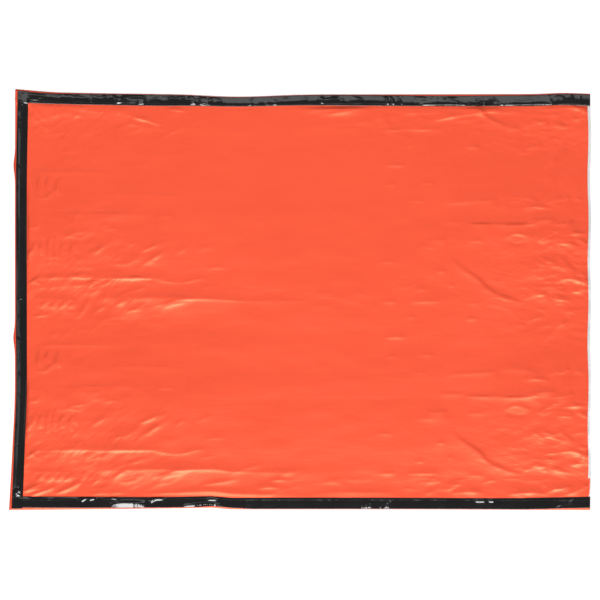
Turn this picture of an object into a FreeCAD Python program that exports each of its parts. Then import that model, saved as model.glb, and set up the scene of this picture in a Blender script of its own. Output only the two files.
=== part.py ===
"""Emergency bivy sack, laid flat with its front panel up.

Two sheets of metallised film, orange outside and silver inside, make a bag that is closed at the foot
and down both sides and open at the head.  The back panel is the larger sheet: its edges turn up and
over the front panel as a narrow flap, and a black adhesive tape covers the flap's raw edge on each of
the three closed sides.  The foot tape goes on last, over the ends of the side tapes.

+X runs from the foot to the mouth, +Z is up, and the origin is on the floor below the sack's middle.
Left and right are those of somebody who lies in the sack face up.
"""

import FreeCAD, Part
import Sketcher

import math
import os

# Driving dimensions, in millimetres.  The spreadsheet holds them and every feature reads them there.
DRIVING = {
    "sack_length": 2134.0,  # from the foot fold to the back panel's mouth edge, 84 in
    "sack_width": 1524.0,  # from side fold to side fold, 60 in
    "mouth_setback": 10.0,  # the front panel's lip stops this far short of the back panel's
    "outer_ply": 0.2,  # orange polyethylene face of the film
    "lining_ply": 0.1,  # aluminised inner face of the film
    "flap_width": 30.0,  # turned-over edge of the back panel
    "edge_slack": 0.5,  # between the front panel's cut edge and the fold round it
    "air_height": 16.0,  # how far the front panel lofts off the back one
    "slope_run": 140.0,  # from the foot of the loft to where it levels out
    "fold_margin": 4.0,  # orange that shows outside a tape
    "tape_width": 40.0,
    "tape_gauge": 0.2,
    "tape_step": 1.0,  # run in which a tape comes down off the flap's raw edge
    "seam_clearance": 2.0,  # from a tape's inner edge to the foot of the loft
}

doc = FreeCAD.newDocument("BivySack")
sizes = doc.addObject("Spreadsheet::Sheet", "sizes")
for row, (alias, value) in enumerate(DRIVING.items(), start=1):
    sizes.set(f"A{row}", alias.replace("_", " "))
    sizes.set(f"B{row}", str(value))
    sizes.setAlias(f"B{row}", alias)
doc.recompute()

# Expressions that several pieces share.
HALF_LENGTH = "sizes.sack_length / 2"
HALF_WIDTH = "sizes.sack_width / 2"
FILM = "(sizes.outer_ply + sizes.lining_ply)"
FRONT_TOP = f"(2 * {FILM})"  # top of the front panel where a flap lies on it
FLAP_TOP = f"(3 * {FILM})"
TAPE_OUTER = "sizes.fold_margin"  # distances in from a fold
TAPE_INNER = "(sizes.fold_margin + sizes.tape_width)"
LOFT_FOOT = f"({TAPE_INNER} + sizes.seam_clearance)"
FILM_EDGE = f"({FILM} + sizes.edge_slack)"
LIP = f"{HALF_LENGTH} - sizes.mouth_setback"
UPRIGHT = FreeCAD.Rotation(FreeCAD.Vector(1, 0, 0), 90)  # turns a wedge's taper from +Y to +Z


def polygon(body, name, plane_role, corners, offset=None):
    """A closed sketch on one of the body's origin planes, with each corner placed by two expressions.
    The corners start evenly round a unit circle, and their constraints then move them into place."""
    sketch = body.newObject("Sketcher::SketchObject", name)
    plane = next(f for f in body.Origin.OriginFeatures if f.Role == plane_role)
    sketch.AttachmentSupport = [(plane, "")]
    sketch.MapMode = "FlatFace"
    if offset:
        sketch.setExpression("AttachmentOffset.Base.z", offset)
    count = len(corners)
    turns = [math.tau * (corner + 0.5) / count for corner in range(count)]
    points = [FreeCAD.Vector(math.cos(turn), math.sin(turn), 0) for turn in turns]
    for side in range(count):
        sketch.addGeometry(Part.LineSegment(points[side], points[(side + 1) % count]))
    for side in range(count):
        sketch.addConstraint(Sketcher.Constraint("Coincident", side, 2, (side + 1) % count, 1))
    for side, (across, up) in enumerate(corners):
        start = points[side]
        for kind, value, expression in (("DistanceX", start.x, across), ("DistanceY", start.y, up)):
            constraint = sketch.addConstraint(Sketcher.Constraint(kind, -1, 1, side, 1, value))
            sketch.setExpression(f"Constraints[{constraint}]", expression)
    doc.recompute()
    return sketch


def pad(body, name, sketch, length, symmetric=False):
    """Pads a sketch along its normal, or half each way."""
    feature = body.newObject("PartDesign::Pad", name)
    feature.Profile = sketch
    feature.SideType = "Symmetric" if symmetric else "One side"
    feature.setExpression("Length", length)
    doc.recompute()
    return feature


def three_sides(outer, width):
    """Corners of a band that runs down both sides and across the foot, open at the mouth.
    Its outer edge is a distance in from the folds, and it is as wide as width says."""
    inner = f"({outer} + {width})"
    edge = [
        (HALF_LENGTH, f"-({HALF_WIDTH} - {outer})"),
        (f"-({HALF_LENGTH} - {outer})", f"-({HALF_WIDTH} - {outer})"),
        (f"-({HALF_LENGTH} - {outer})", f"{HALF_WIDTH} - {outer}"),
        (HALF_LENGTH, f"{HALF_WIDTH} - {outer}"),
    ]
    back = [
        (HALF_LENGTH, f"{HALF_WIDTH} - {inner}"),
        (f"-({HALF_LENGTH} - {inner})", f"{HALF_WIDTH} - {inner}"),
        (f"-({HALF_LENGTH} - {inner})", f"-({HALF_WIDTH} - {inner})"),
        (HALF_LENGTH, f"-({HALF_WIDTH} - {inner})"),
    ]
    return edge + back


# ---- Back panel: each ply is a flat sheet, a fold up round three sides and a flap turned in over it.


def folded_ply(label, below, ply):
    """One ply of the back panel.  below is the thickness of the plies outside it, so the ply starts
    that far up, that far in from the folds and that far under the flap's top."""
    body = doc.addObject("PartDesign::Body", label)
    body.Label = label
    sheet = polygon(
        body,
        f"{label}_sheet_outline",
        "XY_Plane",
        [
            (HALF_LENGTH, f"-({HALF_WIDTH} - {below})"),
            (f"-({HALF_LENGTH} - {below})", f"-({HALF_WIDTH} - {below})"),
            (f"-({HALF_LENGTH} - {below})", f"{HALF_WIDTH} - {below}"),
            (HALF_LENGTH, f"{HALF_WIDTH} - {below}"),
        ],
        below,
    )
    pad(body, f"{label}_sheet", sheet, ply)
    fold = polygon(body, f"{label}_fold_outline", "XY_Plane", three_sides(below, ply), below)
    pad(body, f"{label}_fold", fold, f"{FLAP_TOP} - 2 * {below}")
    flap = polygon(
        body,
        f"{label}_flap_outline",
        "XY_Plane",
        three_sides(below, f"(sizes.flap_width - {below})"),
        f"{FLAP_TOP} - {below} - {ply}",
    )
    pad(body, f"{label}_flap", flap, ply)
    return body


back_panel = folded_ply("back_panel", "0", "sizes.outer_ply")
back_lining = folded_ply("back_panel_lining", "sizes.outer_ply", "sizes.lining_ply")


# ---- Front panel: each ply is a flat rim with a low loft inside it that stays open at the mouth.


def loft_wedge(name, level):
    """A block that stands on level with its foot, left and right sides sloped and its mouth side upright."""
    wedge = doc.addObject("Part::Wedge", name)
    wedge.Placement = FreeCAD.Placement(FreeCAD.Vector(), UPRIGHT)
    wedge.setExpression("Placement.Base.z", level)
    wedge.setExpression("Xmin", f"{LOFT_FOOT} - {HALF_LENGTH}")
    wedge.setExpression("X2min", f"{LOFT_FOOT} + sizes.slope_run - {HALF_LENGTH}")
    wedge.setExpression("Xmax", LIP)
    wedge.setExpression("X2max", LIP)
    wedge.Ymin = 0
    wedge.setExpression("Ymax", "sizes.air_height")
    wedge.setExpression("Zmin", f"{LOFT_FOOT} - {HALF_WIDTH}")
    wedge.setExpression("Z2min", f"{LOFT_FOOT} + sizes.slope_run - {HALF_WIDTH}")
    wedge.setExpression("Zmax", f"{HALF_WIDTH} - {LOFT_FOOT}")
    wedge.setExpression("Z2max", f"{HALF_WIDTH} - {LOFT_FOOT} - sizes.slope_run")
    return wedge


def lofted_ply(label, level, ply):
    """One ply of the front panel, with its rim's underside at level."""
    rim = doc.addObject("Part::Box", f"{label}_rim")
    rim.setExpression("Placement.Base.x", f"{FILM_EDGE} - {HALF_LENGTH}")
    rim.setExpression("Placement.Base.y", f"{FILM_EDGE} - {HALF_WIDTH}")
    rim.setExpression("Placement.Base.z", level)
    rim.setExpression("Length", f"sizes.sack_length - sizes.mouth_setback - {FILM_EDGE}")
    rim.setExpression("Width", f"sizes.sack_width - 2 * {FILM_EDGE}")
    rim.setExpression("Height", ply)
    raised = doc.addObject("Part::Fuse", f"{label}_raised")
    raised.Base = rim
    raised.Tool = loft_wedge(f"{label}_loft", f"{level} + {ply}")
    panel = doc.addObject("Part::Cut", label)
    panel.Base = raised
    panel.Tool = loft_wedge(f"{label}_hollow", level)
    panel.Label = label
    doc.recompute()
    return panel


front_lining = lofted_ply("front_panel_lining", FILM, "sizes.lining_ply")
front_panel = lofted_ply("front_panel", f"{FILM} + sizes.lining_ply", "sizes.outer_ply")


# ---- Side tapes: a strip on the flap that steps down over its raw edge on to the front panel.


def tape_section(place):
    """Corners of a tape's section.  place turns a distance in from the fold into a sketch position."""
    step_foot = "(sizes.flap_width + sizes.tape_step)"
    under = [
        (TAPE_OUTER, FLAP_TOP),
        ("sizes.flap_width", FLAP_TOP),
        (step_foot, FRONT_TOP),
        (TAPE_INNER, FRONT_TOP),
    ]
    over = [(distance, f"{height} + sizes.tape_gauge") for distance, height in reversed(under)]
    return [(place(distance), height) for distance, height in under + over]


def side_tape(label, sign):
    """A side's tape, from the foot flap's raw edge to the mouth.  sign is +1 on the right and -1 on the left."""
    body = doc.addObject("PartDesign::Body", label)
    body.Label = label
    body.setExpression("Placement.Base.x", "sizes.flap_width / 2")
    section = polygon(
        body,
        f"{label}_section",
        "YZ_Plane",
        tape_section(lambda distance: f"{sign} * ({HALF_WIDTH} - {distance})"),
    )
    pad(body, f"{label}_strip", section, "sizes.sack_length - sizes.flap_width", symmetric=True)
    return body


right_tape = side_tape("right_side_tape", 1)
left_tape = side_tape("left_side_tape", -1)


# ---- Foot tape: the same section across the foot, with thicker ends that climb over the side tapes.


def foot_place(distance):
    """A distance in from the foot fold, as a position along the sack."""
    return f"{distance} - {HALF_LENGTH}"


foot_strip = doc.addObject("PartDesign::Body", "foot_tape_strip")
foot_section = polygon(foot_strip, "foot_tape_section", "XZ_Plane", tape_section(foot_place))
pad(foot_strip, "foot_tape_run", foot_section, f"sizes.sack_width - 2 * {TAPE_INNER}", symmetric=True)

CROSSING_TOP = f"({FLAP_TOP} + 2 * sizes.tape_gauge)"
for end, sign in (("right", 1), ("left", -1)):
    crossing = polygon(
        foot_strip,
        f"foot_tape_{end}_crossing",
        "XZ_Plane",
        [
            (foot_place(TAPE_OUTER), FLAP_TOP),
            (foot_place(TAPE_INNER), FLAP_TOP),
            (foot_place(TAPE_INNER), CROSSING_TOP),
            (foot_place(TAPE_OUTER), CROSSING_TOP),
        ],
        f"{sign} * ({HALF_WIDTH} - {TAPE_OUTER} - sizes.tape_width / 2)",
    )
    pad(foot_strip, f"foot_tape_{end}_end", crossing, "sizes.tape_width", symmetric=True)

side_tapes = doc.addObject("Part::Compound", "side_tapes")
side_tapes.Links = [right_tape, left_tape]
foot_tape = doc.addObject("Part::Cut", "foot_tape")
foot_tape.Base = foot_strip
foot_tape.Tool = side_tapes
foot_tape.Label = "foot_tape"

doc.recompute()


# ---- Check every object and write one file for each piece.

PIECES = [back_panel, back_lining, front_lining, front_panel, right_tape, left_tape, foot_tape]

for item in doc.Objects:
    if "Invalid" in item.State or "Error" in item.State:
        raise RuntimeError(f"{item.Name} failed: {item.State}")

os.makedirs("parts", exist_ok=True)
for piece in PIECES:
    shape = piece.Shape
    if shape.isNull() or not shape.isValid() or len(shape.Solids) != 1:
        raise RuntimeError(f"{piece.Label} isn't one valid solid")
    shape.exportStep(f"parts/{piece.Label}.step")
    box = shape.BoundBox
    print(
        f"{piece.Label}: {box.XLength:.1f} x {box.YLength:.1f} x {box.ZLength:.2f} mm,"
        f" z {box.ZMin:.2f} to {box.ZMax:.2f}, {shape.Volume / 1000:.1f} cm3"
    )
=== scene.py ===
"""Emergency bivy sack of orange metallised film, empty and laid flat on a pale floor, front panel up."""

import math

import bpy
import numpy as np
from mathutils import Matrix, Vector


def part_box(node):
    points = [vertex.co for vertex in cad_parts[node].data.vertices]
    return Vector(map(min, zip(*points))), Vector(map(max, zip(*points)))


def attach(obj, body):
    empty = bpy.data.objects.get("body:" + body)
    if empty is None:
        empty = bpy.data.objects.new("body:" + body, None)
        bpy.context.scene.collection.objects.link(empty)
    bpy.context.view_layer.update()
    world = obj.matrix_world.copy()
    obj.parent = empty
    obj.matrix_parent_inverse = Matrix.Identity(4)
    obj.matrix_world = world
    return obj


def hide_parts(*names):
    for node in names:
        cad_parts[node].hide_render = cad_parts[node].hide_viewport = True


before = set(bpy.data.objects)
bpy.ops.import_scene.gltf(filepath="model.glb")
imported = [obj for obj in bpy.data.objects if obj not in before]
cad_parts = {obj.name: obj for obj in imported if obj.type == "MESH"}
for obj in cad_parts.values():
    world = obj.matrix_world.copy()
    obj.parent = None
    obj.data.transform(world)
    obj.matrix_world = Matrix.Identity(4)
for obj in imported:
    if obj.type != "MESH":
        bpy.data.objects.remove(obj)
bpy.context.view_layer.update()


# ---- Front panel: a sheet of thin polyethylene film, orange outside and metallised inside.  It is cut
# ---- to lie just inside the back panel's folds and is free at the mouth.  Folding for the packet and
# ---- the pull of the tapes have left it full of shallow buckles and a few sharp creases.

panel_low, panel_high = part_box("front_panel")
sack_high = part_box("back_panel")[1]
HALF_LENGTH = sack_high.x
HALF_WIDTH = sack_high.y
FILM = 0.0003  # from one face of the film to the other
TAPED = 0.044  # from a fold to the inner edge of its tape


def eased(places, values, at):
    """Values read at other places, on a smooth line through each column that never overshoots it."""
    first = np.clip(np.searchsorted(places, at) - 1, 0, len(places) - 2)
    span = places[first + 1] - places[first]
    part = np.clip((at - places[first]) / span, 0, 1)
    gaps = np.diff(places)
    if values.ndim == 2:
        gaps = gaps[:, None]
        span = span[:, None]
        part = part[:, None]
    climbs = np.diff(values, axis=0) / gaps
    before = np.concatenate([climbs[:1], climbs])
    after = np.concatenate([climbs, climbs[-1:]])
    same_way = before * after > 0
    slopes = np.where(same_way, 2 * before * after / np.where(same_way, before + after, 1), 0)
    ahead = part * part * (3 - 2 * part)
    rise = span * part * (1 - part) * (slopes[first] * (1 - part) - slopes[first + 1] * part)
    return values[first] * (1 - ahead) + values[first + 1] * ahead + rise


def through(points, at):
    """The same for one list of (place, value) points."""
    table = np.array(points, float)
    return eased(table[:, 0], table[:, 1], at)


# How far the folds stray from straight as the sack lies, in metres, away from its middle.  The corners
# at the foot poke out, and each side is drawn in a little a third of the way up.
RIGHT_EDGE = [(-1.07, 0.026), (-0.90, 0.013), (-0.45, 0.005), (-0.25, -0.003), (0.05, 0.005), (0.85, 0.007),
              (0.97, 0.011), (1.07, 0.008)]
LEFT_EDGE = [(-1.07, 0.012), (-0.45, 0.005), (-0.33, 0.003), (-0.24, 0.009), (0.30, 0.009), (1.07, 0.012)]
FOOT_EDGE = [(-0.76, 0.020), (-0.57, 0.009), (-0.30, -0.002), (0.20, -0.002), (0.76, -0.003)]
FOOT_POKES = (0.486, -0.139)  # places where the fold at the foot pokes out past the tape
MOUTH_WAVE = 0.30  # from one shallow wave of the mouth's edge to the next


def lie(x, y):
    """Where a point of the square-cut sack comes to lie on the floor."""
    mouthward = (x / HALF_LENGTH + 1) / 2
    rightward = (y / HALF_WIDTH + 1) / 2
    mouth_edge = 0.0038 + 0.0018 * np.cos(math.tau * y / MOUTH_WAVE)
    shift_x = mouthward * mouth_edge - (1 - mouthward) * through(FOOT_EDGE, y)
    outermost = 1 - smooth(x + HALF_LENGTH, 0, 0.006)
    for middle in FOOT_POKES:
        shift_x = shift_x - 0.006 * outermost * np.exp(-((y - middle) / 0.035) ** 2)
    shift_y = rightward * through(RIGHT_EDGE, x) - (1 - rightward) * through(LEFT_EDGE, x)
    return x + shift_x, y + shift_y


def smooth(value, low, high):
    """0 below low, 1 above high, and a smooth rise between."""
    part = np.clip((value - low) / (high - low), 0, 1)
    return part * part * (3 - 2 * part)


def swell(x, y, wavelength, seed, waves=14, stretch=1.0):
    """A random smooth surface of about -1 to 1.  stretch makes its waves longer along the sack."""
    draw = np.random.default_rng(seed)
    total = np.zeros(np.broadcast(x, y).shape)
    for _ in range(waves):
        turn = draw.uniform(0, math.tau)
        pitch = math.tau / (wavelength * draw.uniform(0.7, 1.5))
        phase = draw.uniform(0, math.tau)
        total += np.cos(pitch * (x * math.cos(turn) / stretch + y * math.sin(turn)) + phase)
    return total / math.sqrt(waves) * 0.8


def facets(x, y, turn, wavelength, seed):
    """Ground between ridges that mostly run one way, at a turn in degrees from the sack's length."""
    along = x * math.cos(math.radians(turn)) + y * math.sin(math.radians(turn))
    across = y * math.cos(math.radians(turn)) - x * math.sin(math.radians(turn))
    return -np.abs(swell(along, across, wavelength, seed, stretch=2.6))


class Surface:
    """Heights over a square-cut sheet, on a grid whose lines run along and across the sack."""

    def __init__(self, x, y, crest=0.002):
        self.x = x
        self.y = y
        self.height = np.zeros((len(x), len(y)))
        self.crest = crest

    def crease(self, path, height, near, far, tent=False):
        """A crease along path that dies out at both ends.  It falls away over near metres on the side
        of the lower y, and over far metres on the other: like a tent's two walls, or ever more gently."""
        path = np.array(path, float)
        steps = np.concatenate([[0], np.cumsum(np.hypot(*np.diff(path, axis=0).T))])
        along = np.linspace(0, steps[-1], 48)
        if len(path) > 2:
            line = np.stack([through(list(zip(steps, path[:, axis])), along) for axis in (0, 1)], 1)
        else:
            line = np.stack([np.interp(along, steps, path[:, axis]) for axis in (0, 1)], 1)
        reach = 5 * max(near, far)
        columns = np.flatnonzero((self.x > line[:, 0].min() - reach) & (self.x < line[:, 0].max() + reach))
        rows = np.flatnonzero((self.y > line[:, 1].min() - reach) & (self.y < line[:, 1].max() + reach))
        if len(columns) < 2 or len(rows) < 2:
            return
        window = np.ix_(columns, rows)
        x, y = np.meshgrid(self.x[columns], self.y[rows], indexing="ij")
        best = np.full(x.shape, 1e9)
        side = np.zeros(x.shape)
        place = np.zeros(x.shape)
        tangents = np.gradient(line, axis=0)
        for at, point, tangent in zip(along, line, tangents):
            ahead_x, ahead_y = tangent / (np.hypot(*tangent) + 1e-12)
            flip = -1 if ahead_x < 0 else 1
            off_x = x - point[0]
            off_y = y - point[1]
            away = off_x ** 2 + off_y ** 2
            nearer = away < best
            best = np.where(nearer, away, best)
            side = np.where(nearer, flip * (off_y * ahead_x - off_x * ahead_y), side)
            place = np.where(nearer, (at + off_x * ahead_x + off_y * ahead_y) / steps[-1], place)
        off_crest = (np.sqrt(side ** 2 + self.crest ** 2) - self.crest) / np.where(side > 0, far, near)
        fall = np.clip(1 - off_crest, 0, 1) if tent else np.exp(-off_crest)
        self.height[window] += height * fall * np.sin(np.pi * np.clip(place, 0, 1)) ** 0.6

    def scatter(self, middle, spread, count, turn, size, height, width, seed, wander=0.35):
        """Many short creases round a place, each at about the same turn, in degrees from the length."""
        draw = np.random.default_rng(seed)
        for _ in range(count):
            x = middle[0] + spread[0] * draw.uniform(-1, 1)
            y = middle[1] + spread[1] * draw.uniform(-1, 1)
            angle = math.radians(turn) + draw.normal(0, wander)
            half = size * draw.uniform(0.5, 1.3) / 2
            bow = half * draw.uniform(-0.25, 0.25)
            reach = np.array([math.cos(angle), math.sin(angle)]) * half
            middle_point = (x - bow * math.sin(angle), y + bow * math.cos(angle))
            path = [(x - reach[0], y - reach[1]), middle_point, (x + reach[0], y + reach[1])]
            tall = height * draw.uniform(0.4, 1.2)
            thin = width * draw.uniform(0.6, 1.3)
            self.crease(path, tall, thin * draw.uniform(0.7, 1.2), thin * draw.uniform(0.9, 2.2))

    def read(self, x, y):
        """Heights between the grid's lines."""
        column = np.clip(np.interp(x, self.x, np.arange(len(self.x))), 0, len(self.x) - 1.001)
        row = np.clip(np.interp(y, self.y, np.arange(len(self.y))), 0, len(self.y) - 1.001)
        i = column.astype(int)
        j = row.astype(int)
        u = column - i
        v = row - j
        h = self.height
        low = h[i, j] * (1 - u) + h[i + 1, j] * u
        high = h[i, j + 1] * (1 - u) + h[i + 1, j + 1] * u
        return low * (1 - v) + high * v


def grid_mesh(name, x, y, z, cut=None):
    """A mesh through a grid of points.  cut marks the grid's cells that are left out."""
    columns, rows = x.shape
    points = np.stack([x, y, z], -1).reshape(-1, 3)
    number = np.arange(columns * rows).reshape(columns, rows)
    cells = np.stack([number[:-1, :-1], number[1:, :-1], number[1:, 1:], number[:-1, 1:]], -1)
    if cut is not None:
        cells = cells[~cut]
    cells = cells.reshape(-1, 4)
    mesh = bpy.data.meshes.new(name)
    mesh.vertices.add(len(points))
    mesh.vertices.foreach_set("co", points.astype(np.float32).ravel())
    mesh.loops.add(4 * len(cells))
    mesh.loops.foreach_set("vertex_index", cells.astype(np.int32).ravel())
    mesh.polygons.add(len(cells))
    mesh.polygons.foreach_set("loop_start", np.arange(0, 4 * len(cells), 4, dtype=np.int32))
    mesh.polygons.foreach_set("use_smooth", np.ones(len(cells), bool))
    mesh.update(calc_edges=True)
    mesh.validate()
    piece = bpy.data.objects.new(name, mesh)
    bpy.context.scene.collection.objects.link(piece)
    return piece


def blurred(heights, rounds):
    """Heights, each averaged with its neighbours a number of times."""
    heights = heights.copy()
    for _ in range(rounds):
        heights[1:-1] = (heights[:-2] + 2 * heights[1:-1] + heights[2:]) / 4
        heights[:, 1:-1] = (heights[:, :-2] + 2 * heights[:, 1:-1] + heights[:, 2:]) / 4
    return heights


def settled_film(step=0.02, frames=34, spare=0.006):
    """Wrinkles of a film a little longer and wider than its seams allow, left to settle on the floor.
    Its broad swell is left out."""
    x = np.arange(-HALF_LENGTH, panel_high.x + step, step)
    y = np.linspace(-HALF_WIDTH, HALF_WIDTH, int(2 * HALF_WIDTH / step) + 1)
    surface = Surface(x, y)
    across, up = np.meshgrid(x, y, indexing="ij")
    draw = np.random.default_rng(7)
    start = 0.004 + 0.0015 * swell(across, up, 0.18, 3) + draw.uniform(0, 0.0004, across.shape)
    blank = grid_mesh("settling_film", across * (1 + spare * 0.4), up * (1 + spare), start)
    held = (HALF_WIDTH - np.abs(up) < TAPED) | (across + HALF_LENGTH < TAPED)
    pins = blank.vertex_groups.new(name="taped")
    pins.add([int(v) for v in np.flatnonzero(held.ravel())], 1.0, "REPLACE")
    blank.shape_key_add(name="cut")
    drawn_in = blank.shape_key_add(name="taped_down")
    settled = np.stack([across, up, np.where(held, 0.001, start)], -1).reshape(-1, 3)
    drawn_in.data.foreach_set("co", settled.astype(np.float32).ravel())
    drawn_in.value = 0
    drawn_in.keyframe_insert("value", frame=1)
    drawn_in.value = 1
    drawn_in.keyframe_insert("value", frame=12)
    cloth = blank.modifiers.new("film", "CLOTH")
    cloth.settings.quality = 6
    cloth.settings.mass = 0.05
    cloth.settings.tension_stiffness = 30
    cloth.settings.compression_stiffness = 30
    cloth.settings.shear_stiffness = 12
    cloth.settings.bending_stiffness = 1.5
    cloth.settings.vertex_group_mass = "taped"
    cloth.collision_settings.distance_min = 0.001
    cloth.collision_settings.use_self_collision = False
    cloth.point_cache.frame_start = 1
    cloth.point_cache.frame_end = frames
    bpy.ops.mesh.primitive_plane_add(size=4, location=(0, 0, 0))
    ground = bpy.context.object
    ground.modifiers.new("ground", "COLLISION")
    ground.collision.thickness_outer = 0.001
    for frame_number in range(1, frames + 1):
        bpy.context.scene.frame_set(frame_number)
    shaped = blank.evaluated_get(bpy.context.evaluated_depsgraph_get())
    points = np.zeros(len(shaped.data.vertices) * 3, np.float32)
    shaped.data.vertices.foreach_get("co", points)
    rise = points.reshape(len(x), len(y), 3)[..., 2].astype(float)
    wrinkles = blurred(rise, 2) - blurred(rise, 36)
    surface.height = 0.0014 * np.tanh(wrinkles / 0.0014)
    bpy.data.objects.remove(ground)
    bpy.data.objects.remove(blank)
    bpy.context.scene.frame_set(1)
    return surface


settled = settled_film()

# The film is finest where it is most creased: by the foot and by the mouth.
film_x = np.concatenate([
    np.linspace(panel_low.x, -0.60, 78, endpoint=False),
    np.linspace(-0.60, -0.35, 31, endpoint=False),
    np.linspace(-0.35, 0.30, 50, endpoint=False),
    np.linspace(0.30, panel_high.x, 92),
])
film_y = np.linspace(panel_low.y, panel_high.y, 397)
film = Surface(film_x, film_y, 0.0015)
grid_x, grid_y = np.meshgrid(film_x, film_y, indexing="ij")
from_foot = grid_x + HALF_LENGTH
from_side = HALF_WIDTH - np.abs(grid_y)
from_seam = np.minimum(from_foot, from_side)

# Creases that the packing folds have left.  The sheet was folded in bands, one on the other, so each
# band carries the same marks.
BAND = 0.631
for band in (-1, 0, 1):
    low = -band * BAND

    def mark(path, height, near, far):
        film.crease([(x, y + low) for x, y in path], height, near, far)

    if band >= 0:
        # the long fold towards the foot, and the short ones that run out of it
        mark([(-0.99, 0.084), (-0.85, 0.086), (-0.70, 0.084), (-0.50, 0.085)], 0.0017, 0.0045, 0.009)
        mark([(-1.00, 0.088), (-0.78, 0.090), (-0.46, 0.088)], 0.0032, 0.050, 0.024)
        mark([(-0.87, 0.090), (-0.82, 0.098), (-0.77, 0.094)], 0.0016, 0.004, 0.005)
        mark([(-0.72, 0.084), (-0.62, 0.085), (-0.53, 0.084)], 0.0018, 0.005, 0.010)
        mark([(-0.54, 0.080), (-0.49, 0.072), (-0.455, 0.069)], 0.0016, 0.005, 0.006)
        mark([(-0.47, 0.068), (-0.42, 0.075), (-0.395, 0.083), (-0.35, 0.085)], 0.0019, 0.005, 0.006)
        mark([(-0.80, 0.062), (-0.785, 0.070), (-0.76, 0.078)], 0.0014, 0.004, 0.005)
        mark([(-0.78, 0.048), (-0.76, 0.055), (-0.74, 0.068)], 0.0012, 0.004, 0.005)
        mark([(-0.80, 0.052), (-0.77, 0.066), (-0.735, 0.085)], 0.0020, 0.010, 0.010)
        mark([(-0.745, 0.055), (-0.72, 0.068), (-0.70, 0.080)], 0.0018, 0.009, 0.009)
        mark([(-0.655, 0.032), (-0.61, 0.043), (-0.575, 0.057)], 0.0019, 0.006, 0.008)
        mark([(-0.695, 0.016), (-0.665, 0.028), (-0.64, 0.034)], 0.0014, 0.005, 0.006)
        mark([(-0.80, 0.015), (-0.775, 0.033), (-0.75, 0.048)], 0.0016, 0.005, 0.006)
        mark([(-1.015, 0.058), (-0.99, 0.075), (-0.965, 0.090)], 0.0026, 0.005, 0.005)
        mark([(-1.0, 0.080), (-0.985, 0.065), (-0.96, 0.058)], 0.0019, 0.005, 0.005)
        # the puffs and slanting folds under it
        for x in (-0.958, -0.924, -0.888, -0.850):
            mark([(x - 0.016, -0.028), (x, -0.012), (x + 0.014, 0.004)], 0.0026, 0.006, 0.008)
            mark([(x - 0.004, -0.030), (x + 0.006, -0.018), (x + 0.016, -0.008)], 0.0012, 0.004, 0.004)
        mark([(-1.0, 0.006), (-0.93, 0.009), (-0.84, 0.006)], 0.0034, 0.028, 0.010)
        mark([(-0.845, -0.068), (-0.815, -0.035), (-0.790, 0.008)], 0.0029, 0.006, 0.008)
        mark([(-0.780, -0.048), (-0.755, -0.030), (-0.730, -0.012)], 0.0022, 0.006, 0.007)
        mark([(-0.695, -0.018), (-0.67, -0.004), (-0.65, 0.008)], 0.0026, 0.008, 0.009)
        mark([(-0.66, -0.036), (-0.62, -0.030), (-0.585, -0.002)], 0.0022, 0.008, 0.008)
        mark([(-0.525, -0.027), (-0.48, -0.010), (-0.43, -0.002)], 0.0024, 0.006, 0.010)
        mark([(-0.55, -0.018), (-0.50, -0.006), (-0.46, 0.006), (-0.40, 0.009)], 0.0020, 0.006, 0.006)
        mark([(-0.78, 0.012), (-0.55, 0.014), (-0.22, 0.012)], 0.0072, 0.060, 0.030)
        mark([(-0.50, 0.010), (-0.38, 0.011), (-0.22, 0.009)], 0.0016, 0.005, 0.009)
        mark([(-0.30, 0.010), (-0.14, 0.006), (0.05, 0.004)], 0.0016, 0.010, 0.008)
        mark([(-1.02, -0.066), (-0.98, -0.056), (-0.94, -0.050)], 0.0026, 0.006, 0.006)
        mark([(-0.73, -0.082), (-0.705, -0.079), (-0.67, -0.082)], 0.0012, 0.008, 0.010)
        mark([(-0.93, -0.132), (-0.92, -0.124), (-0.905, -0.118)], 0.0014, 0.006, 0.008)
        mark([(-0.38, 0.050), (-0.35, 0.056), (-0.32, 0.060)], 0.0014, 0.008, 0.010)
        # the slanting folds over it
        mark([(-0.610, 0.180), (-0.57, 0.195), (-0.52, 0.219)], 0.0036, 0.007, 0.010)
        mark([(-0.545, 0.190), (-0.525, 0.205), (-0.50, 0.223)], 0.0018, 0.005, 0.006)
        mark([(-0.57, 0.135), (-0.55, 0.160), (-0.52, 0.178)], 0.0017, 0.005, 0.007)
        mark([(-0.625, 0.100), (-0.585, 0.140), (-0.53, 0.175), (-0.49, 0.205)], 0.0026, 0.012, 0.012)
        mark([(-0.70, 0.130), (-0.64, 0.142), (-0.59, 0.178)], 0.0026, 0.014, 0.012)
        mark([(-0.47, 0.170), (-0.45, 0.187), (-0.43, 0.198)], 0.0019, 0.007, 0.008)
        mark([(-0.39, 0.185), (-0.36, 0.200), (-0.335, 0.212)], 0.0016, 0.008, 0.010)
        mark([(-0.36, 0.122), (-0.33, 0.127), (-0.28, 0.131)], 0.0016, 0.008, 0.010)
        mark([(-0.775, 0.175), (-0.75, 0.192), (-0.725, 0.210)], 0.0020, 0.005, 0.006)
        mark([(-0.735, 0.262), (-0.705, 0.267), (-0.675, 0.266)], 0.0017, 0.006, 0.008)
        mark([(-0.755, 0.265), (-0.742, 0.278), (-0.72, 0.284)], 0.0014, 0.010, 0.005)
        mark([(-0.875, 0.246), (-0.84, 0.250), (-0.80, 0.258)], 0.0018, 0.005, 0.006)
        mark([(-0.90, 0.232), (-0.86, 0.238), (-0.82, 0.228)], 0.0014, 0.005, 0.006)
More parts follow.
